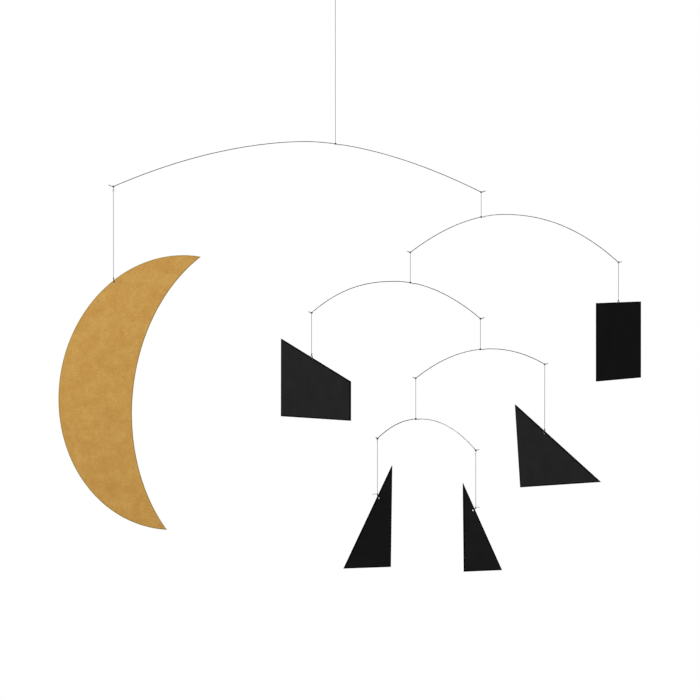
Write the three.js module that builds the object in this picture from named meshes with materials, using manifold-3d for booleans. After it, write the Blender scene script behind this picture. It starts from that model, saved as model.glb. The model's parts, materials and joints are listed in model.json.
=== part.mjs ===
import * as THREE from "three";
import { mergeVertices } from "three/addons/utils/BufferGeometryUtils.js";
import Module from "manifold-3d";

// A hanging mobile: five arched spring-wire arms, a gold crescent moon and five black cards, all hung
// one below another on threads. Lengths are in millimetres and angles in degrees. +Z is up, +X runs
// to the right and +Y away from someone who stands in front of it. The origin is the point where the
// hanging loop rests on its hook.

const CARD_THICKNESS = 1.4;
const HOLE_DIAMETER = 1.8;
const WIRE_DIAMETER = 0.8;
const THREAD_DIAMETER = 0.5;
const KNOT_DIAMETER = 1.6;
const WINDING_TURNS = 2;
const GAP = 0.3;

// The thread's own loop at the very top, which goes over a hook.
const HANGING_LOOP_LENGTH = 18;
const HANGING_LOOP_WIDTH = 9;
const HANGING_KNOT_DIAMETER = 1.8;
const FIRST_ARM_DROP = 177.2;

// A shallow crimp in each wire, just right of its thread, keeps the thread from sliding.
const CRIMP_DEPTH = 0.7;
const CRIMP_OFFSET = 3.1;
const CRIMP_HALF_WIDTH = 1.9;
const BEND_LENGTH = 1.3;

// Each arm is drawn from its own hanging point. reach and drop lead to the bend that holds a thread,
// bend is the power of the arch on that side, and tip is the run and rise of the short end past it.
// crest is how far right of the hanging point the arch is highest, and turn is measured from the arm above.
const ARMS = {
  arm_1: {
    turn: 0,
    crest: -30.2,
    left: { reach: 228.4, drop: 43.9, bend: 1.85, tip: [5.1, 1.8] },
    right: { reach: 150, drop: 49.7, bend: 1.73, tip: [4.6, 1.6] },
  },
  arm_2: {
    turn: 6,
    crest: 23.2,
    left: { reach: 73.4, drop: 36.5, bend: 1.88, tip: [3.2, 1.3] },
    right: { reach: 143.4, drop: 46.7, bend: 2.17, tip: [3.5, 1.1] },
  },
  arm_3: {
    turn: -14,
    crest: -15.2,
    left: { reach: 102.6, drop: 31.2, bend: 2.34, tip: [3.4, 1.6] },
    right: { reach: 72.4, drop: 36.9, bend: 1.94, tip: [4.2, 1.2] },
  },
  arm_4: {
    turn: 15,
    crest: 10.3,
    left: { reach: 66.9, drop: 29.4, bend: 2.05, tip: [3.4, 1.4] },
    right: { reach: 66.9, drop: 15.6, bend: 2.05, tip: [3.4, 1.3] },
  },
  arm_5: {
    turn: -43,
    crest: 7,
    left: { reach: 48.2, drop: 21.5, bend: 2.12, tip: [2.2, 1.8] },
    right: { reach: 74, drop: 29.8, bend: 2.12, tip: [4.1, 1.2] },
  },
};

// Thread from the bend of one wire down to the wire below it.
const ARM_THREAD_LENGTH = { arm_2: 25.5, arm_3: 31, arm_4: 31.4, arm_5: 41.7 };

// The cards with straight edges. outline goes round the card from its square corner, hole is the
// middle of its thread hole in the same plan, and lean is how far the card hangs out of level.
// holeDrop is from the bend of the wire down to the hole, holeOffset is how far right of the thread's
// line the hole is, and knotAbove is from the hole up to the knot.
const CARDS = {
  rectangle: {
    turn: 57.3,
    lean: 0.3,
    outline: [[0, 0], [120, 0], [120, 80], [0, 80]],
    hole: [59.4, 77.7],
    holeDrop: 43.5,
    holeOffset: 0.3,
    knotAbove: 3.8,
  },
  trapezoid: {
    turn: -44.9,
    lean: -0.2,
    outline: [[0, 0], [120, 0], [120, 40], [0, 81]],
    hole: [53.6, 60.4],
    holeDrop: 48.5,
    holeOffset: 0.5,
    knotAbove: 5.2,
  },
  large_triangle: {
    turn: -56.3,
    lean: 5.4,
    outline: [[0, 0], [118, 0], [0, 86]],
    hole: [40.4, 53.7],
    holeDrop: 71.1,
    holeOffset: -0.7,
    knotAbove: 3.8,
  },
  left_triangle: {
    turn: 67.4,
    lean: -0.9,
    outline: [[0, 0], [0, 105], [-57, 0]],
    hole: [-15.4, 71.7],
    holeDrop: 61.4,
    holeOffset: 1.9,
    knotAbove: 3.8,
  },
  right_triangle: {
    turn: 53.5,
    lean: 0.7,
    outline: [[0, 0], [41, 0], [0, 90]],
    hole: [10.6, 61.9],
    holeDrop: 60.5,
    holeOffset: -2.9,
    knotAbove: 2.4,
  },
};

// The crescent is a tall oval with a second oval cut out of it. Both middles are measured from the
// bend of the wire that the moon's thread hangs from.
const MOON = {
  outer: { middle: [66, -212.2], halfWidth: 122.4, halfHeight: 142.1, lean: -9.1 },
  inner: { middle: [154.8, -226.6], halfWidth: 135.8, halfHeight: 180.1, lean: -4.2 },
  holeDiameter: 1.4,
  holeDrop: 99.4,
  holeOffset: 0.8,
  knotAbove: 4.6,
};

// How finely round things are faceted. WIRE_STEP is the length of one straight stretch of wire.
const WIRE_SIDES = 8;
const WIRE_STEP = 9;
const THREAD_SIDES = 8;
const LOOP_SIDES = 6;
const RING_STEPS = 10;
const CARD_LOOP_STEPS = 14;
const HANGING_LOOP_STEPS = 16;
const KNOT_SIDES = 8;
const KNOT_BANDS = 6;
const HOLE_SIDES = 16;
const OVAL_POINTS = 128;

const radians = THREE.MathUtils.degToRad;
const wasm = await Module();
wasm.setup();

function solidOf(geometry) {
  const plain = geometry.clone();
  plain.deleteAttribute("normal");
  plain.deleteAttribute("uv");
  const merged = mergeVertices(plain, 1e-4);
  return new wasm.Manifold(
    new wasm.Mesh({
      numProp: 3,
      vertProperties: merged.attributes.position.array,
      triVerts: new Uint32Array(merged.index.array),
    }),
  );
}

function geometryOf(solid) {
  const { vertProperties, triVerts } = solid.getMesh();
  const geometry = new THREE.BufferGeometry();
  geometry.setAttribute("position", new THREE.BufferAttribute(vertProperties, 3));
  geometry.setIndex(new THREE.BufferAttribute(triVerts, 1));
  geometry.computeVertexNormals();
  return geometry;
}

function joined(...geometries) {
  return geometryOf(geometries.map(solidOf).reduce((whole, piece) => whole.add(piece)));
}

function cut(geometry, ...cutters) {
  return geometryOf(cutters.map(solidOf).reduce((rest, piece) => rest.subtract(piece), solidOf(geometry)));
}

function named(name, geometry, materialOf) {
  const mesh = new THREE.Mesh(geometry, materialOf());
  mesh.name = name;
  return mesh;
}

function material(color, roughness, metalness) {
  return () => new THREE.MeshStandardMaterial({ color, roughness, metalness });
}

const goldCard = material(0xc2964c, 0.5, 0.35);
const blackCard = material(0x1b1b1c, 0.85, 0);
const springWire = material(0x5c5d60, 0.35, 0.9);
const darkThread = material(0x3c3c3e, 0.9, 0);

// A run of straight stretches from station to station, bisecting the angle at each, so that an
// extrusion along it has exactly one ring at every station.
class StationCurve extends THREE.Curve {
  constructor(stations) {
    super();
    this.stations = stations;
  }

  getPoint(t, target = new THREE.Vector3()) {
    const last = this.stations.length - 1;
    const place = THREE.MathUtils.clamp(t * last, 0, last);
    const before = Math.min(Math.floor(place), last - 1);
    return target.lerpVectors(this.stations[before], this.stations[before + 1], place - before);
  }

  getPointAt(t, target) {
    return this.getPoint(t, target);
  }

  getTangentAt(t, target = new THREE.Vector3()) {
    const last = this.stations.length - 1;
    const here = Math.round(t * last);
    const before = Math.max(here, 1);
    const after = Math.min(here, last - 1);
    const arriving = this.stations[before].clone().sub(this.stations[before - 1]).normalize();
    const leaving = this.stations[after + 1].clone().sub(this.stations[after]).normalize();
    return target.addVectors(arriving, leaving).normalize();
  }
}

function tube(stations, diameter, sides) {
  const corners = Array.from({ length: sides }, (_, side) => {
    const angle = (2 * Math.PI * (side + 0.5)) / sides;
    return new THREE.Vector2(Math.cos(angle), Math.sin(angle)).multiplyScalar(diameter / 2);
  });
  return new THREE.ExtrudeGeometry(new THREE.Shape(corners), {
    steps: stations.length - 1,
    extrudePath: new StationCurve(stations),
  });
}

// What cuts a card reaches past both of its faces.
const CUTTER_DEPTH = 3 * CARD_THICKNESS;

// A flat shape drawn in plan, stood upright so that its own Y becomes Z, with its middle plane at y = 0.
function uprightPlate(shape, thickness, curveSegments) {
  const settings = { depth: thickness, bevelEnabled: false, curveSegments };
  const geometry = new THREE.ExtrudeGeometry(shape, settings);
  geometry.translate(0, 0, -thickness / 2);
  geometry.rotateX(Math.PI / 2);
  return geometry;
}

function holeCutter(x, z, diameter = HOLE_DIAMETER) {
  const radius = diameter / 2;
  return new THREE.CylinderGeometry(radius, radius, CUTTER_DEPTH, HOLE_SIDES).translate(x, 0, z);
}

// The arms

function crestHeight(arm) {
  const side = arm.crest > 0 ? arm.left : arm.right;
  const across = Math.abs(arm.crest) / (side.reach + Math.abs(arm.crest));
  const share = across ** side.bend;
  return (side.drop * share) / (1 - share);
}

function crimpDip(x) {
  const away = (x - CRIMP_OFFSET) / CRIMP_HALF_WIDTH;
  return Math.abs(away) < 1 ? CRIMP_DEPTH * Math.cos((Math.PI / 2) * away) ** 2 : 0;
}

function archHeight(arm, x) {
  const crest = crestHeight(arm);
  const [side, span] =
    x < arm.crest ? [arm.left, arm.left.reach + arm.crest] : [arm.right, arm.right.reach - arm.crest];
  return crest - (crest + side.drop) * (Math.abs(x - arm.crest) / span) ** side.bend - crimpDip(x);
}

function wireStations(arm) {
  const from = -arm.left.reach + BEND_LENGTH;
  const to = arm.right.reach - BEND_LENGTH;
  const count = Math.ceil((to - from) / WIRE_STEP);
  const crimp = [-1, -0.5, 0, 0.5, 1].map((share) => CRIMP_OFFSET + share * CRIMP_HALF_WIDTH);
  const evenly = Array.from({ length: count + 1 }, (_, step) => from + ((to - from) * step) / count);
  const clear = evenly.filter((x) => Math.abs(x - CRIMP_OFFSET) > CRIMP_HALF_WIDTH + WIRE_STEP / 4);
  const arch = [...clear, ...crimp].sort((a, b) => a - b).map((x) => [x, archHeight(arm, x)]);
  const end = (side, sign) => {
    const [run, rise] = side.tip;
    const share = BEND_LENGTH / run;
    const low = [sign * side.reach, -side.drop];
    const turned = [low[0] + sign * BEND_LENGTH, low[1] + rise * share];
    return [low, turned, [low[0] + sign * run, low[1] + rise]];
  };
  const path = [...end(arm.left, -1).reverse(), ...arch, ...end(arm.right, 1)];
  return path.map(([x, z]) => new THREE.Vector3(x, 0, z));
}

// Threads, windings and knots

const WINDING_RADIUS = WIRE_DIAMETER / 2 + GAP + THREAD_DIAMETER / 2;
const WINDING_REACH = WINDING_RADIUS + THREAD_DIAMETER / 2;
const LOOP_END_ANGLE = 8;

function knot(x, z, diameter = KNOT_DIAMETER) {
  const ball = new THREE.SphereGeometry(diameter / 2, KNOT_SIDES, KNOT_BANDS);
  return ball.rotateX(Math.PI / 2).translate(x, 0, z);
}

// The tight turns of thread that tie it round a wire, as one rounded ring with the wire along its axis.
function windingsRoundWire() {
  const ring = new THREE.TorusGeometry(WINDING_RADIUS, THREAD_DIAMETER / 2, LOOP_SIDES, RING_STEPS);
  return ring.rotateY(Math.PI / 2).scale(WINDING_TURNS, 1, 1);
}

function straightThread(top, bottom) {
  const ends = [new THREE.Vector3(0, 0, top), new THREE.Vector3(0, 0, bottom)];
  return tube(ends, THREAD_DIAMETER, THREAD_SIDES);
}

// From the windings round the wire above down to just above what holds the thread's lower end.
function hangingThread(drop) {
  return joined(windingsRoundWire(), straightThread(-WINDING_RADIUS, GAP - drop));
}

// Angles round a loop from the middle of its knot, with its two ends apart inside the knot.
function anglesRoundLoop(steps) {
  const start = radians(LOOP_END_ANGLE);
  return Array.from({ length: steps + 1 }, (_, step) => start + (2 * (Math.PI - start) * step) / steps);
}

// A loop that leaves the knot, passes through a card's hole and comes back over the card's other face.
function knotOnCard(holeOffset, knotAbove) {
  const lowest = new THREE.Vector3(holeOffset, 0, 0).addScaledVector(
    new THREE.Vector3(-holeOffset, 0, knotAbove).normalize(),
    -GAP,
  );
  const along = new THREE.Vector3(0, 0, knotAbove).sub(lowest).multiplyScalar(0.5);
  const middle = lowest.clone().add(along);
  const halfWidth = CARD_THICKNESS / 2 + 2 * GAP + THREAD_DIAMETER / 2;
  const stations = anglesRoundLoop(CARD_LOOP_STEPS).map((angle) => {
    const across = new THREE.Vector3(0, halfWidth * Math.sin(angle), 0);
    return middle.clone().addScaledVector(along, Math.cos(angle)).add(across);
  });
  return joined(tube(stations, THREAD_DIAMETER, LOOP_SIDES), knot(0, knotAbove));
}

// A drop-shaped loop: pointed at its knot, round at the top.
function hangingLoop() {
  const top = THREAD_DIAMETER / 2;
  const length = HANGING_LOOP_LENGTH + top;
  const across = (angle) => Math.sin(angle) * Math.sin(angle / 2);
  const angles = anglesRoundLoop(HANGING_LOOP_STEPS);
  const widest = Math.max(...angles.map(across));
  const stations = angles.map((angle) => {
    const x = ((HANGING_LOOP_WIDTH / 2) * across(angle)) / widest;
    return new THREE.Vector3(x, 0, top - (length * (1 + Math.cos(angle))) / 2);
  });
  const endKnot = knot(0, -HANGING_LOOP_LENGTH, HANGING_KNOT_DIAMETER);
  return joined(tube(stations, THREAD_DIAMETER, THREAD_SIDES), endKnot);
}

// The cards

function straightCard(card) {
  const outline = new THREE.Shape(card.outline.map(([x, y]) => new THREE.Vector2(x, y)));
  const plate = cut(uprightPlate(outline, CARD_THICKNESS), holeCutter(...card.hole));
  return plate.translate(-card.hole[0], 0, -card.hole[1]).rotateY(-radians(card.lean));
}

function oval({ middle, halfWidth, halfHeight, lean }, thickness) {
  const shape = new THREE.Shape();
  shape.absellipse(0, 0, halfWidth, halfHeight, 0, 2 * Math.PI, false, radians(lean));
  return uprightPlate(shape, thickness, OVAL_POINTS / 2).translate(middle[0], 0, middle[1]);
}

function crescent() {
  const { outer, inner, holeOffset, holeDrop, holeDiameter } = MOON;
  const notch = oval(inner, CUTTER_DEPTH);
  return cut(oval(outer, CARD_THICKNESS), notch, holeCutter(holeOffset, -holeDrop, holeDiameter));
}

// Hanging one thing from another. A group's own frame turns about its thread.

function hungFrame(parent, x, z, turn) {
  const frame = new THREE.Group();
  frame.position.set(x, 0, z);
  frame.rotation.z = radians(turn);
  parent.add(frame);
  return frame;
}

function threadFrom(parent, x, z, name, drop) {
  const thread = named(`thread_${name}`, hangingThread(drop), darkThread);
  thread.position.set(x, 0, z);
  parent.add(thread);
}

function addArm(parent, name, x, z) {
  const frame = hungFrame(parent, x, z, ARMS[name].turn);
  frame.add(named(`${name}_wire`, tube(wireStations(ARMS[name]), WIRE_DIAMETER, WIRE_SIDES), springWire));
  frame.add(named(`knot_${name}`, windingsRoundWire(), darkThread));
  return frame;
}

function bendOf(armName, side) {
  const { reach, drop } = ARMS[armName][side];
  return [side === "left" ? -reach : reach, -drop];
}

function hangArm(parent, parentName, side, name) {
  const [x, z] = bendOf(parentName, side);
  const length = ARM_THREAD_LENGTH[name];
  threadFrom(parent, x, z, name, length - WINDING_REACH);
  return addArm(parent, name, x, z - length);
}

function hangCard(parent, parentName, side, name) {
  const card = CARDS[name];
  const [x, z] = bendOf(parentName, side);
  threadFrom(parent, x, z, name, card.holeDrop - card.knotAbove - KNOT_DIAMETER / 2);
  const frame = hungFrame(parent, x, z - card.holeDrop, card.turn);
  const plate = named(`${name}_card`, straightCard(card), blackCard);
  plate.position.x = card.holeOffset;
  frame.add(plate);
  frame.add(named(`knot_${name}`, knotOnCard(card.holeOffset, card.knotAbove), darkThread));
}

function hangMoon(parent, parentName, side) {
  const [x, z] = bendOf(parentName, side);
  threadFrom(parent, x, z, "moon", MOON.holeDrop - MOON.knotAbove - KNOT_DIAMETER / 2);
  const frame = hungFrame(parent, x, z, 0);
  frame.add(named("moon_card", crescent(), goldCard));
  const knotted = named("knot_moon", knotOnCard(MOON.holeOffset, MOON.knotAbove), darkThread);
  knotted.position.z = -MOON.holeDrop;
  frame.add(knotted);
}

function addTopThread(parent) {
  const top = -(HANGING_LOOP_LENGTH + HANGING_KNOT_DIAMETER / 2 + GAP);
  const bottom = -(FIRST_ARM_DROP - WINDING_REACH - GAP);
  parent.add(named("hanging_loop", hangingLoop(), darkThread));
  parent.add(named("thread_top", straightThread(top, bottom), darkThread));
}

const mobile = new THREE.Group();
addTopThread(mobile);
const arm1 = addArm(mobile, "arm_1", 0, -FIRST_ARM_DROP);
hangMoon(arm1, "arm_1", "left");
const arm2 = hangArm(arm1, "arm_1", "right", "arm_2");
hangCard(arm2, "arm_2", "right", "rectangle");
const arm3 = hangArm(arm2, "arm_2", "left", "arm_3");
hangCard(arm3, "arm_3", "left", "trapezoid");
const arm4 = hangArm(arm3, "arm_3", "right", "arm_4");
hangCard(arm4, "arm_4", "right", "large_triangle");
const arm5 = hangArm(arm4, "arm_4", "left", "arm_5");
hangCard(arm5, "arm_5", "left", "left_triangle");
hangCard(arm5, "arm_5", "right", "right_triangle");

export default mobile;
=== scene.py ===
import json
import math
import random

import bmesh
import bpy
import numpy as np
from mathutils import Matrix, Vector
from mathutils.geometry import intersect_line_line_2d

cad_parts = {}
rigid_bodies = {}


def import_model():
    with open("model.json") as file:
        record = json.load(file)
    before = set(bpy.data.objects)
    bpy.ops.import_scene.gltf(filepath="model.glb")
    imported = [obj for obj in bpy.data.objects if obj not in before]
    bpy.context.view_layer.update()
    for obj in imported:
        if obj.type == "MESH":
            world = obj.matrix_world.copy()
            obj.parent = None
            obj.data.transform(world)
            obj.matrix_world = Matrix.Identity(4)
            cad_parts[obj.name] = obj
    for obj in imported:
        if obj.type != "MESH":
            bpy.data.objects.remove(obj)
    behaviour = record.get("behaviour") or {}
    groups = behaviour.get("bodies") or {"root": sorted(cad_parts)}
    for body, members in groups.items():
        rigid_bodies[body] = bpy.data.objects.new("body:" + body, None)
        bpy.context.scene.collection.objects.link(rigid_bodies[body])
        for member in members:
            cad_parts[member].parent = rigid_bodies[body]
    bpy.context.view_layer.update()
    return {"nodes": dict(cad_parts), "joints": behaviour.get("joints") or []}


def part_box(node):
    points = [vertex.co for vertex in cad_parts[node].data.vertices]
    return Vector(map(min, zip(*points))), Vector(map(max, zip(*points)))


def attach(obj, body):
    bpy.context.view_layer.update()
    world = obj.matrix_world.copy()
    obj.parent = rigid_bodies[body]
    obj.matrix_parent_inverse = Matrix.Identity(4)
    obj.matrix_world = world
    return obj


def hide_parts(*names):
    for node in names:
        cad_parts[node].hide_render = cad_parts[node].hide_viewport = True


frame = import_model()

# Lengths are in metres, apart from those in tables, which are in millimetres. +X runs to the viewer's
# right, +Y away from the viewer and +Z up.
MM = 0.001
UP = Vector((0, 0, 1))
RIGHT = Vector((1, 0, 0))

# Where the camera is and what it looks at, and its lens and sensor in millimetres.
CAMERA_PLACE = Vector((0.01504, -3.55, -0.30385))
CAMERA_TARGET = Vector((0.01504, 0, -0.38934))
CAMERA_LENS = 177.31
SENSOR_WIDTH = 36

CARD_THICKNESS = 1.4 * MM
EDGE_ROUNDING = 0.18 * MM
HOLE_SIDES = 32

# The darker band of painted edge shade along a card's outline, and over what width it ends there and
# round the hole.
BLACK_PAINTED_EDGE_SHADE_WIDTH = 1.2 * MM
GOLD_PAINTED_EDGE_SHADE_WIDTH = 0.9 * MM
PAINTED_EDGE_SHADE_END = 0.12 * MM
HOLE_PAINTED_EDGE_SHADE_END = 0.1 * MM

WIRE_RADIUS = 0.4 * MM
WIRE_SIDES = 16
WIRE_STEP = 0.4 * MM
ARCH_STEP = 0.5 * MM

# The thread is twisted from three plies, with grooves between them as a share of its radius.
THREAD_RADIUS = 0.25 * MM
THREAD_SIDES = 12
THREAD_STEP = 0.11 * MM
PLIES = 3
PLY_PITCH = 1.9 * MM
PLY_GROOVE = 0.2

# How far the solids' windings reach from the middle of a wire, and the size of their knots.
WINDING_REACH = 1.2 * MM
KNOT_RADIUS = 0.8 * MM

# How finely a winding is drawn, and the size of a wound knot and of a tie.
STEPS_PER_TURN = 28
WOUND_KNOT_RADIUS = 0.5 * MM
CARD_KNOT_HALF_LENGTH = 0.55 * MM
LOOP_KNOT_HALF_LENGTH = 0.65 * MM
TIE_HALF_LENGTH = 0.78 * MM

# The hanging loop: its knot's size, and how far down from its top it is widest.
LOOP_KNOT_RADIUS = 0.9 * MM
LOOP_HEAD = 4.6 * MM

# How far above or below a wire its tie has become a straight thread.
TIE_RISE = 1.6 * MM
TIE_FALL = 2.0 * MM

# The shape of each arch: how far right of its own thread it is highest, the power of the curve on each
# side, and the run and rise of the short end past each bend.
ARCHES = {
    "arm_1": {"crest": -30.2, "bend": (1.85, 1.73), "tips": ((5.1, 1.8), (4.6, 1.6))},
    "arm_2": {"crest": 23.2, "bend": (1.88, 2.17), "tips": ((3.2, 1.3), (3.5, 1.1))},
    "arm_3": {"crest": -15.2, "bend": (2.34, 1.94), "tips": ((3.4, 1.6), (4.2, 1.2))},
    "arm_4": {"crest": 10.3, "bend": (2.05, 2.05), "tips": ((3.4, 1.4), (3.4, 1.3))},
    "arm_5": {"crest": 7.0, "bend": (2.12, 2.12), "tips": ((2.2, 1.8), (4.1, 1.2))},
}
CRIMP_DEPTH = 0.7 * MM
CRIMP_OFFSET = 3.1 * MM
CRIMP_HALF_WIDTH = 1.9 * MM
BEND_ROUNDING = 0.7 * MM

# Each card's thread hole: how far it is to the right of the knot and below it, and its radius. The
# moon's is narrower than its solid's, so that its thread fills it.
HOLES = {
    "moon": (0.8, 4.6, 0.55),
    "rectangle": (0.3, 3.8, 0.9),
    "trapezoid": (0.5, 5.2, 0.9),
    "large_triangle": (-0.7, 3.8, 0.9),
    "left_triangle": (1.9, 3.8, 0.9),
    "right_triangle": (-2.9, 2.4, 0.9),
}

# The short end of thread left over at each card's knot: how far it reaches to the right, and up.
CARD_TAILS = {
    "moon": (-0.9, 1.3),
    "rectangle": (1.3, 1.2),
    "trapezoid": (0.9, 1.5),
    "large_triangle": (-1.4, 1.1),
    "left_triangle": (-6.2, -0.1),
    "right_triangle": (4.3, 0.2),
}

# How far each thread runs on into the knot that holds it.
OVERLAP = 0.25 * MM

# How many straight stretches the top thread and every other hanging thread are drawn with.
TOP_THREAD_STRETCHES = 30
THREAD_STRETCHES = 60

# How many pieces each side of a card is cut into, for cards of two, three and four sides.
SIDE_COUNTS = {2: (200, 200), 3: (24, 24, 24), 4: (24, 24, 24, 24)}

# Slack turns in a thread close under its bend: how many, how far they swing out, and over what length.
SLACK_TURNS = {
    "moon": (2.4, 0.6, 3.9),
    "arm_5": (1.5, 0.25, 2.6),
    "left_triangle": (1, 0.4, 1.6),
    "right_triangle": (1, 0.5, 2.8),
}

# The studio, in metres: where the floor is, how far it reaches, and each light's place, size and power.
WORLD_STRENGTH = 0.16
FLOOR_HEIGHT = -1.1
FLOOR_REACH = 30
OBJECT_MIDDLE = Vector((0, 0, -0.35))
LIGHTS = {
    "key": ((-2.2, -1.6, 0.75), 1.6, 82),
    "fill": ((1.0, -3.3, 0.2), 1.6, 26),
    "top": ((0.2, -0.4, 2.4), 1.6, 30),
    "back": ((0.3, 3.3, 0.8), 2.0, 80),
}

swivels = {joint["child"]: Vector(joint["pos_m"]) for joint in frame["joints"]}
parents = {joint["child"]: joint["parent"] for joint in frame["joints"]}
arms = [name for name in swivels if name in ARCHES]
cards = [name for name in swivels if name in HOLES]
chance = random.Random(7)


# Lines

def line(start, end, count):
    """Evenly spaced points from one place to another."""
    return [start.lerp(end, step / count) for step in range(count + 1)]


def bezier(start, start_pull, end_pull, end, count=24):
    """A cubic curve that leaves towards its first pull and arrives from its second."""
    points = []
    for step in range(count + 1):
        t = step / count
        s = 1 - t
        points.append(s**3 * start + 3 * s * s * t * start_pull + 3 * s * t * t * end_pull + t**3 * end)
    return points


def chained(*runs):
    """Several lines as one, without the points that they share."""
    points = [runs[0][0]]
    for run in runs:
        points += [point for point in run if (point - points[-1]).length > 1e-6]
    return points


def walked_along(points):
    """The points as rows, and how far along the line each of them is."""
    corners = np.array([point[:] for point in points])
    stretches = np.linalg.norm(np.diff(corners, axis=0), axis=1)
    return corners, np.concatenate([[0], np.cumsum(stretches)])


def resampled(points, step, radius):
    """Points spaced evenly along a polyline, closer at both ends for a rounded tip."""
    corners, walked = walked_along(points)
    length = walked[-1]
    tip = np.array([0, 0.06, 0.25, 0.6]) * radius
    middle = np.linspace(radius, length - radius, max(2, round((length - 2 * radius) / step)))
    places = np.concatenate([tip, middle, length - tip[::-1]])
    return np.stack([np.interp(places, walked, corners[:, i]) for i in range(3)], axis=1), places


def frames_along(points):
    """A right-handed pair of directions across the line at every point, without any twist."""
    tangents = np.gradient(points, axis=0)
    tangents /= np.linalg.norm(tangents, axis=1)[:, None]
    first = np.cross(tangents[0], (0.3, 0.2, 1) if abs(tangents[0][2]) < 0.9 else (1, 0.2, 0))
    across = [first / np.linalg.norm(first)]
    for tangent in tangents[1:]:
        carried = across[-1] - tangent * across[-1].dot(tangent)
        across.append(carried / np.linalg.norm(carried))
    across = np.array(across)
    return across, np.cross(tangents, across)


def rod_rings(centres, places, radius, sides, plies):
    """The vertices of every ring of a rod with rounded tips, grooved between its plies if it has any."""
    across, third = frames_along(centres)
    to_end = np.minimum(places, places[-1] - places) / radius
    tip = np.sqrt(np.clip(1 - (1 - np.clip(to_end, 0, 1)) ** 2, 0.0025, 1))
    angles = np.arange(sides) * math.tau / sides
    reach = radius * tip[:, None] * np.ones((1, sides))
    if plies:
        twist = math.tau * places[:, None] / PLY_PITCH
        lobes = np.cos(plies * (angles[None, :] - twist))
        reach = reach * (1 - PLY_GROOVE * (1 - lobes) / 2)
    cosines = np.cos(angles)[None, :, None]
    sines = np.sin(angles)[None, :, None]
    round_about = cosines * across[:, None] + sines * third[:, None]
    return (centres[:, None] + reach[:, :, None] * round_about).reshape(-1, 3)


def rod_faces(places, sides):
    """The faces and UVs between a rod's rings and over its two tips."""
    faces, uvs = [], []
    for ring in range(len(places) - 1):
        low, high = ring * sides, (ring + 1) * sides
        v0, v1 = places[ring], places[ring + 1]
        for side in range(sides):
            after = (side + 1) % sides
            faces.append((low + side, low + after, high + after, high + side))
            u0, u1 = side / sides, (side + 1) / sides
            uvs.append(((u0, v0), (u1, v0), (u1, v1), (u0, v1)))
    last = (len(places) - 1) * sides
    faces.append(tuple(reversed(range(sides))))
    faces.append(tuple(last + side for side in range(sides)))
    uvs.append(((0, 0),) * sides)
    uvs.append(((0, places[-1]),) * sides)
    return faces, uvs


def rod(points, radius, sides, step, plies=0):
    """Vertices, faces and UVs of a round rod along a line, or of a twisted thread of several plies."""
    centres, places = resampled(points, step, radius)
    return rod_rings(centres, places, radius, sides, plies), *rod_faces(places, sides)


def new_object(name, vertices, faces, uvs):
    """A smooth-shaded mesh object in the scene, with a UV for every corner of every face."""
    mesh = bpy.data.meshes.new(name)
    mesh.from_pydata(np.asarray(vertices).tolist(), [], faces)
    layer = mesh.uv_layers.new(name="along")
    flat = np.array([corner for face in uvs for corner in face], dtype=np.float32)
    layer.data.foreach_set("uv", flat.ravel())
    mesh.shade_smooth()
    piece = bpy.data.objects.new(name, mesh)
    bpy.context.scene.collection.objects.link(piece)
    return piece


def dressed(piece, body, nodes, material):
    """A finished piece rides on its body, stands for its solids and wears its material."""
    piece.data.materials.clear()
    piece.data.materials.append(material)
    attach(piece, body)
    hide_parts(*nodes)
    return piece


def thread_piece(name, *paths):
    """One object of twisted thread, along one or more lines."""
    vertices, faces, uvs = [], [], []
    for path in paths:
        base = len(vertices)
        points, path_faces, path_uvs = rod(path, THREAD_RADIUS, THREAD_SIDES, THREAD_STEP, PLIES)
        vertices.extend(points.tolist())
        faces.extend(tuple(base + corner for corner in face) for face in path_faces)
        uvs.extend(path_uvs)
    return new_object(name, vertices, faces, uvs)


# Materials

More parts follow.
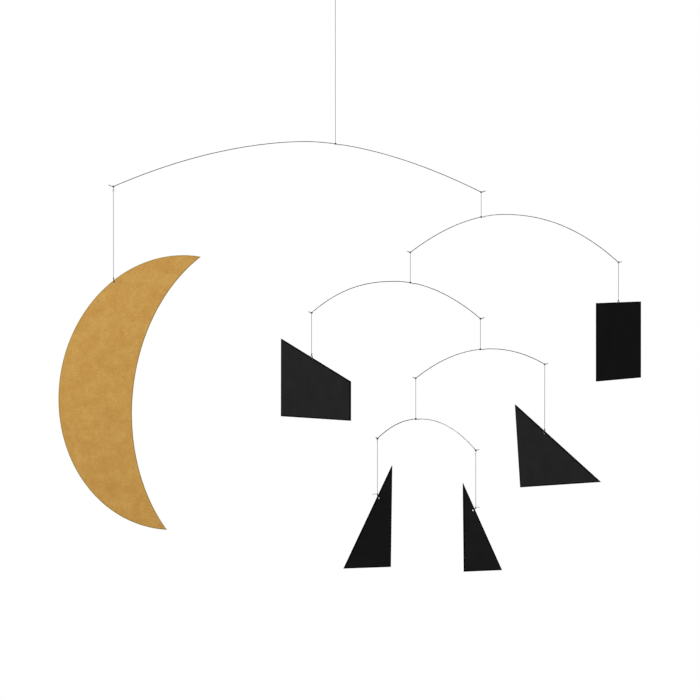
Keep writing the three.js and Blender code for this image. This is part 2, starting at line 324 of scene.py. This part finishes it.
class Nodes:
    """Short calls for building a material's node tree."""

    def __init__(self, name):
        self.material = bpy.data.materials.new(name)
        self.material.use_nodes = True
        self.tree = self.material.node_tree
        self.shader = self.tree.nodes["Principled BSDF"]

    def add(self, kind, values=None, **settings):
        node = self.tree.nodes.new(kind)
        for key, value in settings.items():
            setattr(node, key, value)
        for key, value in (values or {}).items():
            node.inputs[key].default_value = value
        return node

    def join(self, output, target):
        self.tree.links.new(output, target)

    def put(self, value, target):
        """A number, a colour or another node's output, into a socket."""
        if isinstance(value, (int, float)):
            target.default_value = value
        elif isinstance(value, tuple):
            target.default_value = (*value, 1)
        else:
            self.join(value, target)

    def noise(self, vector, scale, detail=4.0, roughness=0.5, distortion=0.0):
        values = {"Scale": scale, "Detail": detail, "Roughness": roughness, "Distortion": distortion}
        node = self.add("ShaderNodeTexNoise", values)
        self.join(vector, node.inputs["Vector"])
        return node.outputs["Fac"]

    def stretched(self, vector, scale):
        node = self.add("ShaderNodeMapping", {"Scale": scale})
        self.join(vector, node.inputs["Vector"])
        return node.outputs["Vector"]

    def ramp(self, value, *stops):
        node = self.add("ShaderNodeValToRGB")
        elements = node.color_ramp.elements
        while len(elements) < len(stops):
            elements.new(0.5)
        for element, (position, colour) in zip(elements, stops):
            element.position = position
            element.color = (*colour, 1)
        self.join(value, node.inputs["Fac"])
        return node.outputs["Color"]

    def spread(self, value, low, high, to_low, to_high):
        values = {"From Min": low, "From Max": high, "To Min": to_low, "To Max": to_high}
        node = self.add("ShaderNodeMapRange", values)
        self.join(value, node.inputs["Value"])
        return node.outputs["Result"]

    def mixed(self, factor, first, second, blend="MIX"):
        node = self.add("ShaderNodeMix", data_type="RGBA", blend_type=blend)
        factor_socket, first_socket, second_socket = (node.inputs[i] for i in (0, 6, 7))
        self.put(factor, factor_socket)
        self.put(first, first_socket)
        self.put(second, second_socket)
        return node.outputs[2]

    def arithmetic(self, first, second, operation="ADD"):
        node = self.add("ShaderNodeMath", operation=operation)
        self.put(first, node.inputs[0])
        self.put(second, node.inputs[1])
        return node.outputs[0]

    def bump(self, height, strength, distance):
        node = self.add("ShaderNodeBump", {"Strength": strength, "Distance": distance})
        self.join(height, node.inputs["Height"])
        self.join(node.outputs["Normal"], self.shader.inputs["Normal"])

    def finish(self, colour, roughness, **values):
        self.join(colour, self.shader.inputs["Base Color"])
        self.join(roughness, self.shader.inputs["Roughness"])
        for key, value in values.items():
            self.shader.inputs[key.replace("_", " ")].default_value = value
        return self.material


def gold_card_material():
    """Satin gold card, softly mottled, with a fine grain and painted shade along its edges."""
    n = Nodes("gold_card")
    place = n.add("ShaderNodeTexCoord").outputs["Object"]
    clouds = n.noise(place, 65, detail=6, roughness=0.7, distortion=0.4)
    colour = n.ramp(
        clouds,
        (0.30, (0.559, 0.282, 0.050)),
        (0.50, (0.603, 0.329, 0.069)),
        (0.70, (0.650, 0.382, 0.093)),
    )
    flecks = n.noise(place, 900, detail=3, roughness=0.7)
    shade = n.spread(flecks, 0.3, 0.7, 0.84, 1.16)
    colour = n.mixed(1.0, colour, shade, "MULTIPLY")
    # Painted shade: the rounded edges, a band along the outline and the hole's edge are darkened to a
    # deep brown.
    rim = n.add("ShaderNodeAttribute", attribute_name="rim").outputs["Fac"]
    colour = n.mixed(rim, colour, (0.39, 0.245, 0.048))
    grain = n.noise(place, 2600, detail=2)
    dull = n.spread(flecks, 0.3, 0.7, 0.5, 0.62)
    relief = n.arithmetic(grain, n.arithmetic(flecks, 2.0, "MULTIPLY"))
    n.bump(relief, 0.25, 0.04 * MM)
    return n.finish(colour, dull, Metallic=0.35)


def black_card_material():
    """Matt black card with a faint grain and painted shade along its edges."""
    n = Nodes("black_card")
    place = n.add("ShaderNodeTexCoord").outputs["Object"]
    clouds = n.noise(place, 60, detail=4)
    colour = n.ramp(clouds, (0.35, (0.0135, 0.0135, 0.0138)), (0.65, (0.0162, 0.0160, 0.0160)))
    flecks = n.noise(place, 1100, detail=3, roughness=0.65)
    shade = n.spread(flecks, 0.3, 0.7, 0.82, 1.18)
    colour = n.mixed(1.0, colour, shade, "MULTIPLY")
    # Painted shade: the rounded edges, a band along the outline and the hole's edge are darkened almost
    # to black.
    rim = n.add("ShaderNodeAttribute", attribute_name="rim").outputs["Fac"]
    colour = n.mixed(rim, colour, (0.0012, 0.0012, 0.0012))
    grain = n.noise(place, 2400, detail=2)
    dull = n.spread(flecks, 0.3, 0.7, 0.74, 0.88)
    n.bump(n.arithmetic(grain, flecks), 0.3, 0.05 * MM)
    return n.finish(colour, dull, Metallic=0.0, Specular_IOR_Level=0.06)


def wire_material():
    """Smooth dark spring steel with faint marks along it, as drawing leaves them."""
    n = Nodes("spring_wire")
    along = n.add("ShaderNodeTexCoord").outputs["UV"]
    place = n.add("ShaderNodeTexCoord").outputs["Object"]
    drawn = n.noise(n.stretched(along, (40, 300, 1)), 1.0, detail=3)
    patches = n.noise(place, 90, detail=3)
    colour = n.ramp(patches, (0.3, (0.125, 0.126, 0.130)), (0.7, (0.190, 0.189, 0.186)))
    shade = n.spread(drawn, 0.3, 0.7, 0.8, 1.2)
    colour = n.mixed(1.0, colour, shade, "MULTIPLY")
    dull = n.spread(drawn, 0.3, 0.7, 0.26, 0.42)
    n.bump(drawn, 0.2, 0.01 * MM)
    return n.finish(colour, dull, Metallic=1.0)


def thread_material():
    """Dark thread with its fibres along it."""
    n = Nodes("thread")
    along = n.add("ShaderNodeTexCoord").outputs["UV"]
    place = n.add("ShaderNodeTexCoord").outputs["Object"]
    fibres = n.noise(n.stretched(along, (24, 2600, 1)), 1.0, detail=3)
    patches = n.noise(place, 500, detail=2)
    colour = n.ramp(fibres, (0.3, (0.011, 0.011, 0.012)), (0.7, (0.032, 0.031, 0.032)))
    shade = n.spread(patches, 0.3, 0.7, 0.8, 1.2)
    colour = n.mixed(1.0, colour, shade, "MULTIPLY")
    dull = n.spread(fibres, 0.3, 0.7, 0.6, 0.8)
    n.bump(fibres, 0.4, 0.02 * MM)
    return n.finish(colour, dull, Metallic=0.0, Sheen_Weight=0.12, Sheen_Roughness=0.5)


GOLD_CARD = gold_card_material()
BLACK_CARD = black_card_material()
SPRING_WIRE = wire_material()
THREAD = thread_material()


# Camera, and the thread that something above the view holds taut

def add_camera():
    """In front of the object and slightly above its middle, looking a little down."""
    data = bpy.data.cameras.new("camera")
    camera = bpy.data.objects.new("camera", data)
    bpy.context.scene.collection.objects.link(camera)
    camera.location = CAMERA_PLACE
    camera.rotation_euler = (CAMERA_TARGET - CAMERA_PLACE).to_track_quat("-Z", "Y").to_euler()
    data.sensor_width = SENSOR_WIDTH
    data.lens = CAMERA_LENS
    data.clip_end = 50
    bpy.context.scene.camera = camera


def add_top_thread():
    """From the first arm's tie up to the knot of the loop that hangs on a hook, held taut."""
    low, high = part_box("thread_top")
    exit_point = Vector((0, 0, low.z - OVERLAP))
    route = line(exit_point, Vector((0, 0, high.z + OVERLAP)), TOP_THREAD_STRETCHES)
    piece = dressed(thread_piece("top_thread", route), "hanger", ["thread_top"], THREAD)
    hanging_loop()


def hanging_loop():
    """A loop pointed at its knot and round at the top, where it rests on its hook."""
    low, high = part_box("hanging_loop")
    knot = Vector((0, 0, low.z + LOOP_KNOT_RADIUS))
    neck = knot + UP * 0.6 * MM
    top = Vector((0, 0, high.z - THREAD_RADIUS))
    widest = Vector(((high.x - low.x) / 2 - THREAD_RADIUS, 0, top.z - LOOP_HEAD))
    lean = (UP + 0.3 * RIGHT).normalized()
    rising = bezier(neck, neck + lean * 4 * MM, widest - UP * 4.5 * MM, widest)
    over = bezier(widest, widest + UP * 2.5 * MM, top + RIGHT * 2.5 * MM, top)
    right = chained(rising, over)
    left = [Vector((-point.x, point.y, point.z)) for point in reversed(right)]
    front = Vector((0, -1, 0))
    turns = wound_knot(knot, RIGHT, 3, -LOOP_KNOT_HALF_LENGTH)
    tail_end = turns[0] + Vector((1.9, -0.6, -2.4)) * MM
    tail = bezier(tail_end, tail_end + UP * 0.9 * MM, turns[0] + front * 0.3 * MM, turns[0], 12)
    piece = thread_piece("loop_and_knot", chained(right, left), chained(tail, turns))
    return dressed(piece, "hanger", ["hanging_loop"], THREAD)


# The arms

class Arch:
    """One arm's wire, placed by the solids that hang it and that hang from it."""

    def __init__(self, name):
        self.name = name
        self.hang = Vector(swivels[name].xy).to_3d()
        self.hang.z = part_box(f"knot_{name}")[0].z + WINDING_REACH
        held = [child for child in parents if parents[child] == name]
        held.sort(key=lambda child: swivels[child].x)
        self.ends = {child: self.bend_of(child) for child in held}
        left, right = self.ends.values()
        self.along = Vector((right - left).xy).to_3d().normalized()
        shape = ARCHES[name]
        self.crest = shape["crest"] * MM
        self.powers = shape["bend"]
        self.tips = shape["tips"]
        self.reach = [(self.hang - left).xy.length, (right - self.hang).xy.length]
        self.drop = [self.hang.z - left.z, self.hang.z - right.z]

    def bend_of(self, child):
        """Where the wire bends to hold a thread."""
        point = Vector(swivels[child].xy).to_3d()
        point.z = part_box(f"thread_{child}")[1].z - WINDING_REACH
        return point

    def at(self, x, z):
        """A point so far right of the arm's own thread along the arm, and so far above its tie."""
        return self.hang + self.along * x + UP * z

    def side(self, x):
        return 0 if x < self.crest else 1

    def crest_height(self):
        """How far the top of the arch is above its tie, so that the curve passes through the tie."""
        side = 0 if self.crest > 0 else 1
        share = (abs(self.crest) / (self.reach[side] + abs(self.crest))) ** self.powers[side]
        return self.drop[side] * share / (1 - share)

    def height(self, x):
        """How far the wire is above its tie, with the dip of its crimp."""
        side = self.side(x)
        span = self.reach[side] + (self.crest if side == 0 else -self.crest)
        crest = self.crest_height()
        arch = crest - (crest + self.drop[side]) * (abs(x - self.crest) / span) ** self.powers[side]
        away = (x - CRIMP_OFFSET) / CRIMP_HALF_WIDTH
        if abs(away) < 1:
            arch -= CRIMP_DEPTH * math.cos(math.pi / 2 * away) ** 2
        return arch

    def end(self, side):
        """From the arch round the sharp bend and out to the upturned tip."""
        sign = -1 if side == 0 else 1
        run, rise = (length * MM for length in self.tips[side])
        x = sign * (self.reach[side] - BEND_ROUNDING)
        inner = self.at(x, self.height(x))
        low = self.at(sign * self.reach[side], -self.drop[side])
        out = self.along * sign * run
        up = UP * rise
        outer = low + (out + up * 0.8).normalized() * BEND_ROUNDING
        tip = low + out + up
        round_bend = bezier(inner, inner.lerp(low, 2 / 3), outer.lerp(low, 2 / 3), outer, 12)
        leaving = outer + out * 0.4 + up * 0.2
        arriving = tip - out * 0.2 - up * 0.4
        return round_bend + bezier(outer, leaving, arriving, tip, 12)[1:]

    def path(self):
        """The whole wire, from its left tip to its right one."""
        left, right = BEND_ROUNDING - self.reach[0], self.reach[1] - BEND_ROUNDING
        count = round((right - left) / ARCH_STEP)
        inner = [left + (right - left) * step / count for step in range(1, count)]
        middle = [self.at(x, self.height(x)) for x in inner]
        return chained(list(reversed(self.end(0))), middle, self.end(1))


def add_wire(arch):
    made = rod(arch.path(), WIRE_RADIUS, WIRE_SIDES, WIRE_STEP)
    piece = new_object(f"{arch.name}_spring", *made)
    dressed(piece, arch.name, [f"{arch.name}_wire"], SPRING_WIRE)


# Threads and knots

def wound(middle, along, leaves, stops):
    """A line round an axis, through stops of turns made, place along the axis and distance from it."""
    front = along.cross(UP) if abs(along.z) < 0.9 else along.cross(leaves)
    turns, places, radii = zip(*stops)
    count = round((turns[-1] - turns[0]) * STEPS_PER_TURN) + 1
    steps = np.linspace(turns[0], turns[-1], count).tolist()
    step_places = np.interp(steps, turns, places)
    step_radii = np.interp(steps, turns, radii)
    points = []
    for turn, place, radius in zip(steps, step_places, step_radii):
        angle = math.tau * turn
        round_it = front * math.cos(angle) + leaves * math.sin(angle)
        points.append(middle + along * float(place) + round_it * float(radius))
    return points


def wound_knot(middle, leaves, turns, start):
    """Tight turns about a vertical axis, from a height over or under the middle to the opposite one."""
    stops = [(0, start, WOUND_KNOT_RADIUS), (turns, -start, WOUND_KNOT_RADIUS)]
    return wound(middle, UP, leaves, stops)


def tie_on_wire(middle, along, leaves, meet):
    """A clove hitch round a wire: tight turns, one crossing over them, and the short end left over."""
    # Most turns lie against the wire, and the crossing one lies over them.
    near = WIRE_RADIUS + 0.9 * THREAD_RADIUS
    far = WIRE_RADIUS + 2.4 * THREAD_RADIUS
    stops = [
        (0.5, -0.3 * MM, near),
        (1.5, -TIE_HALF_LENGTH, near),
        (2, 0, far),
        (2.5, TIE_HALF_LENGTH, near),
        (4, 0.1 * MM, near),
    ]
    turns = wound(middle, along, leaves, stops)
    pull = leaves * 0.5 * MM
    met = middle + leaves * meet
    leaving = bezier(turns[-1], turns[-1] + pull, met - pull, met, 14)
    back = (turns[0] - turns[1]).normalized()
    tail_end = turns[0] + back * chance.uniform(0.7, 1.2) * MM - along * chance.uniform(0.2, 0.8) * MM
    tail = bezier(tail_end, tail_end - back * 0.2 * MM, turns[0] + back * 0.3 * MM, turns[0], 10)
    return chained(tail, turns, leaving)


def hanging_line(start, bottom, child):
    """Straight down, apart from the slack turns that some threads have close under their bend."""
    turns, radius, length = SLACK_TURNS.get(child, (0, 0, 0))
    if not turns:
        return line(start, bottom, THREAD_STRETCHES)
    slack = []
    for step in range(THREAD_STRETCHES + 1):
        t = step / THREAD_STRETCHES
        swell = radius * MM * min(1, 5 * t, 5 * (1 - t))
        angle = math.tau * turns * t
        aside = Vector((math.sin(angle), -math.cos(angle), 0)) * swell
        slack.append(start - UP * length * MM * t + aside)
    return chained(slack, line(slack[-1], bottom, THREAD_STRETCHES))


def upper_thread(arch, child):
    """The tie on the parent's bend and the straight run down to what hangs on it."""
    bend = arch.ends[child]
    tie = tie_on_wire(bend, arch.along, -UP, TIE_FALL)
    bottom = Vector((bend.x, bend.y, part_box(f"thread_{child}")[0].z - OVERLAP))
    return thread_piece(f"{child}_thread", chained(tie, hanging_line(tie[-1], bottom, child)))


def arm_knot(arch):
    """The tie that holds an arm, at the lower end of the thread above it."""
    return thread_piece(f"{arch.name}_hitch", tie_on_wire(arch.hang, arch.along, UP, TIE_RISE))


def card_normal(name):
    """Which way the face of a card towards the viewer looks."""
    mesh = frame["nodes"][f"{name}_card"].data
    widest = max(mesh.polygons, key=lambda polygon: polygon.area)
    return widest.normal * (-1 if widest.normal.y > 0 else 1)


def knot_middle(name):
    """The middle of the knot above a card."""
    return Vector((swivels[name].x, swivels[name].y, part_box(f"knot_{name}")[1].z - KNOT_RADIUS))


def card_knot(name):
    """A small knot, and the thread that goes from it twice through the card's hole and back."""
    normal = card_normal(name)
    across = Vector((-normal.y, normal.x, 0))
    offset, below, hole_radius = HOLES[name]
    knot = knot_middle(name)
    hole = knot + across * offset * MM - UP * below * MM
    upward = (knot - hole).normalized()
    beside = upward.cross(normal)
    out = CARD_THICKNESS / 2 + THREAD_RADIUS
    neck = knot - upward * WOUND_KNOT_RADIUS

    def leg(rest, sign):
        """From the hole up one face of the card and into the knot."""
        face = rest + normal * sign * out + upward * 0.35 * MM
        shoulder = face + upward * ((knot - face).dot(upward) * 0.45)
        corner = bezier(rest, rest + normal * sign * out * 0.85, face - upward * 0.25 * MM, face, 10)
        rise = bezier(shoulder, shoulder + upward * 0.8 * MM, neck + normal * sign * 0.3 * MM, neck, 14)
        return chained(corner, line(face, shoulder, 6), rise)

    def strand_through(shift):
        """Down one face, through the hole and up the other."""
        rest = hole + upward * (hole_radius * MM - 1.4 * THREAD_RADIUS) + beside * shift * THREAD_RADIUS
        return chained(list(reversed(leg(rest, 1))), leg(rest, -1))

    turns = wound_knot(knot, across, 2.75, CARD_KNOT_HALF_LENGTH)
    run, rise = CARD_TAILS[name]
    tail_end = knot + across * run * MM + UP * rise * MM - normal * 0.4 * MM
    first = turns[0]
    outer_pull = first.lerp(tail_end, 0.7) + UP * 0.2 * MM
    inner_pull = first.lerp(tail_end, 0.3) + UP * 0.3 * MM
    wrapped = chained(bezier(tail_end, outer_pull, inner_pull, first, 16), turns)
    standing = line(neck, knot + UP * (KNOT_RADIUS + 0.1 * MM), 8)
    return thread_piece(f"{name}_knot", strand_through(-1), strand_through(1), wrapped, standing)


# The cards

class Flat:
    """The plane of one card: x to the right along it and y up, from its thread at its hole's height."""

    def __init__(self, name):
        self.normal = card_normal(name)
        self.across = Vector((-self.normal.y, self.normal.x, 0))
        offset, below, radius = HOLES[name]
        self.hole = Vector((offset * MM, 0))
        self.hole_radius = radius * MM
        self.middle = Vector((swivels[name].x, swivels[name].y, knot_middle(name).z - below * MM))

    def lay(self, point):
        """A point in space, as it lies in the card's plane."""
        away = point - self.middle
        return Vector((away.dot(self.across), away.z))

    def place(self, point, depth):
        """A point of the plane, put in space at a depth in front of the card's middle."""
        return self.middle + self.across * point.x + UP * point.y + self.normal * depth


def outline_of(name, flat):
    """The corners of the solid's front face, in order round its longest edge."""
    shape = bmesh.new()
    shape.from_mesh(frame["nodes"][f"{name}_card"].data)
    bmesh.ops.remove_doubles(shape, verts=shape.verts, dist=0.001 * MM)
    front = {face for face in shape.faces if face.normal.dot(flat.normal) > 0.999}
    after = {}
    for face in front:
        for loop in face.loops:
            if not all(other in front for other in loop.edge.link_faces):
                after[loop.vert] = loop.link_loop_next.vert
    rings = []
    while after:
        vertex, following = after.popitem()
        ring = [vertex]
        while following is not vertex:
            ring.append(following)
            following = after.pop(following)
        rings.append([flat.lay(corner.co) for corner in ring])
    shape.free()
    return max(rings, key=lambda ring: max(point.length for point in ring))


def sides_of(ring, sharp=math.radians(25)):
    """The outline cut at its corners into open lines."""
    count = len(ring)

    def turn(i):
        before, after = ring[i] - ring[i - 1], ring[(i + 1) % count] - ring[i]
        return abs(before.angle_signed(after))

    corners = [i for i in range(count) if turn(i) > sharp]
    spans = zip(corners, corners[1:] + [corners[0] + count])
    return [[ring[i % count] for i in range(first, last + 1)] for first, last in spans]


def moved_in(side, distance):
    """An open line moved to its left."""
    moved = []
    for i, point in enumerate(side):
        along = side[min(i + 1, len(side) - 1)] - side[max(i - 1, 0)]
        moved.append(point + Vector((-along.y, along.x)).normalized() * distance)
    return moved


def cut_at_crossing(first, second):
    """Both lines, cut where the end of the first crosses the start of the second."""
    for i in range(len(first) - 1, 0, -1):
        for j in range(len(second) - 1):
            meet = intersect_line_line_2d(first[i - 1], first[i], second[j], second[j + 1])
            if meet:
                return first[:i] + [meet], [meet] + second[j + 1:]
    return first, second


def spaced(side, count):
    """Evenly spaced points along an open line, without its last."""
    corners, walked = walked_along(side)
    places = np.linspace(0, walked[-1], count + 1)[:-1]
    xs, ys = (np.interp(places, walked, corners[:, i]) for i in range(2))
    return [Vector((float(x), float(y))) for x, y in zip(xs, ys)]


def inset(sides, distance):
    """The outline's points at a distance inside its edge, the same number at every distance."""
    if distance:
        sides = [moved_in(side, distance) for side in sides]
        for i in range(len(sides)):
            after = (i + 1) % len(sides)
            sides[i], sides[after] = cut_at_crossing(sides[i], sides[after])
    counts = SIDE_COUNTS[len(sides)]
    return [point for side, count in zip(sides, counts) for point in spaced(side, count)]


def rounded_edge():
    """From the cut edge of a card on to its face: each ring's distance from the edge, and its depth."""
    half = CARD_THICKNESS / 2
    turns = [math.radians(angle) for angle in (0, 30, 60, 90)]
    inward = [EDGE_ROUNDING * (1 - math.cos(turn)) for turn in turns]
    depths = [half - EDGE_ROUNDING * (1 - math.sin(turn)) for turn in turns]
    return list(zip(inward, depths))


def dressed_card(name, painted_edge_shade_width):
    """A card with softly rounded cut edges, a hole, and painted shade along its outline and round the
    hole.
    """
    flat = Flat(name)
    sides = sides_of(outline_of(name, flat))
    half = CARD_THICKNESS / 2
    edge = rounded_edge()
    profile = edge + [(painted_edge_shade_width, half), (painted_edge_shade_width + PAINTED_EDGE_SHADE_END, half)]
    shape = bmesh.new()
    rim = shape.verts.layers.float.new("rim")

    def ring(points, depth, edge_shaded):
        vertices = [shape.verts.new(flat.place(point, depth)) for point in points]
        for vertex in vertices:
            vertex[rim] = edge_shaded
        return vertices

    def join(first, second):
        for i in range(len(first)):
            shape.faces.new((first[i - 1], first[i], second[i], second[i - 1]))

    def edges_of(vertices):
        return [shape.edges.get((vertices[i - 1], vertices[i])) for i in range(len(vertices))]

    def hole(distance):
        angles = [math.tau * step / HOLE_SIDES for step in range(HOLE_SIDES)]
        radius = flat.hole_radius + distance
        return [flat.hole + Vector((math.cos(angle), math.sin(angle))) * radius for angle in angles]

    outlines = {distance: inset(sides, distance) for distance, _ in profile}
    walls = []
    for side in (1, -1):
        outer = []
        for distance, depth in profile:
            # Rings on the rounded edge and within the band carry the painted edge shade; the ring past
            # the band does not.
            edge_shaded = float(distance <= painted_edge_shade_width)
            outer.append(ring(outlines[distance], depth * side, edge_shaded))
        # Round the hole, the rounded edge carries painted shade, and one flat ring beyond it ends the
        # shade.
        inner = [ring(hole(distance), depth * side, 1.0) for distance, depth in edge]
        inner.append(ring(hole(EDGE_ROUNDING + HOLE_PAINTED_EDGE_SHADE_END), half * side, 0.0))
        for rings in (outer, inner):
            for first, second in zip(rings, rings[1:]):
                join(first, second)
        bmesh.ops.triangle_fill(shape, use_beauty=True, edges=edges_of(outer[-1]) + edges_of(inner[-1]))
        walls.append((outer[0], inner[0]))
    for front, back in zip(*walls):
        join(front, back)
    bmesh.ops.recalc_face_normals(shape, faces=shape.faces)
    mesh = bpy.data.meshes.new(f"{name}_sheet")
    shape.to_mesh(mesh)
    shape.free()
    mesh.shade_smooth()
    piece = bpy.data.objects.new(f"{name}_sheet", mesh)
    bpy.context.scene.collection.objects.link(piece)
    return piece


def add_moving_pieces():
    """Everything that hangs below the top thread."""
    arches = {name: Arch(name) for name in arms}
    for name, arch in arches.items():
        add_wire(arch)
        dressed(arm_knot(arch), name, [f"knot_{name}"], THREAD)
        for child in arch.ends:
            dressed(upper_thread(arch, child), name, [f"thread_{child}"], THREAD)
    for name in cards:
        # Each card gets the width of painted edge shade that goes with its material.
        slot, material, painted_edge_shade_width = "black_card", BLACK_CARD, BLACK_PAINTED_EDGE_SHADE_WIDTH
        if name == "moon":
            slot, material, painted_edge_shade_width = "gold_card", GOLD_CARD, GOLD_PAINTED_EDGE_SHADE_WIDTH
        dressed(dressed_card(name, painted_edge_shade_width), name, [f"{name}_card"], material)
        dressed(card_knot(name), name, [f"knot_{name}"], THREAD)


# The studio

def add_floor():
    """A plain white floor that neither shades nor colours what hangs above it."""
    mesh = bpy.data.meshes.new("floor")
    corners = [(x * FLOOR_REACH, y * FLOOR_REACH, 0) for x, y in ((-1, -1), (1, -1), (1, 1), (-1, 1))]
    mesh.from_pydata(corners, [], [(0, 1, 2, 3)])
    floor = bpy.data.objects.new("floor", mesh)
    bpy.context.scene.collection.objects.link(floor)
    floor.location.z = FLOOR_HEIGHT
    material = bpy.data.materials.new("pale_floor")
    material.use_nodes = True
    shader = material.node_tree.nodes["Principled BSDF"]
    shader.inputs["Base Color"].default_value = (0, 0, 0, 1)
    shader.inputs["Specular IOR Level"].default_value = 0
    shader.inputs["Emission Color"].default_value = (1, 1, 1, 1)
    shader.inputs["Emission Strength"].default_value = 1
    floor.data.materials.append(material)
    floor.visible_diffuse = False
    floor.visible_glossy = False
    floor.visible_shadow = False


def add_light(name, place, size, power):
    """A round, soft light aimed at the middle of the object."""
    data = bpy.data.lights.new(name, "AREA")
    data.shape = "DISK"
    data.size = size
    data.energy = power
    light = bpy.data.objects.new(name, data)
    bpy.context.scene.collection.objects.link(light)
    light.location = place
    light.rotation_euler = (OBJECT_MIDDLE - Vector(place)).to_track_quat("-Z", "Y").to_euler()


def add_world():
    """White to the camera, and a dimmer even light on the object."""
    world = bpy.data.worlds.new("studio")
    bpy.context.scene.world = world
    world.use_nodes = True
    tree = world.node_tree
    background = tree.nodes["Background"]
    white = tree.nodes.new("ShaderNodeBackground")
    white.inputs["Strength"].default_value = 1.0
    white.inputs["Color"].default_value = (1, 1, 1, 1)
    background.inputs["Color"].default_value = (0.97, 0.985, 1, 1)
    background.inputs["Strength"].default_value = WORLD_STRENGTH
    mix = tree.nodes.new("ShaderNodeMixShader")
    path = tree.nodes.new("ShaderNodeLightPath")
    tree.links.new(path.outputs["Is Camera Ray"], mix.inputs["Fac"])
    tree.links.new(background.outputs["Background"], mix.inputs[1])
    tree.links.new(white.outputs["Background"], mix.inputs[2])
    tree.links.new(mix.outputs["Shader"], tree.nodes["World Output"].inputs["Surface"])


def add_studio():
    add_floor()
    add_world()
    for name, (place, size, power) in LIGHTS.items():
        add_light(name, place, size, power)
    bpy.context.scene.view_settings.view_transform = "Standard"
    bpy.context.scene.view_settings.look = "None"


add_camera()
add_top_thread()
add_moving_pieces()
add_studio()

bpy.context.view_layer.update()
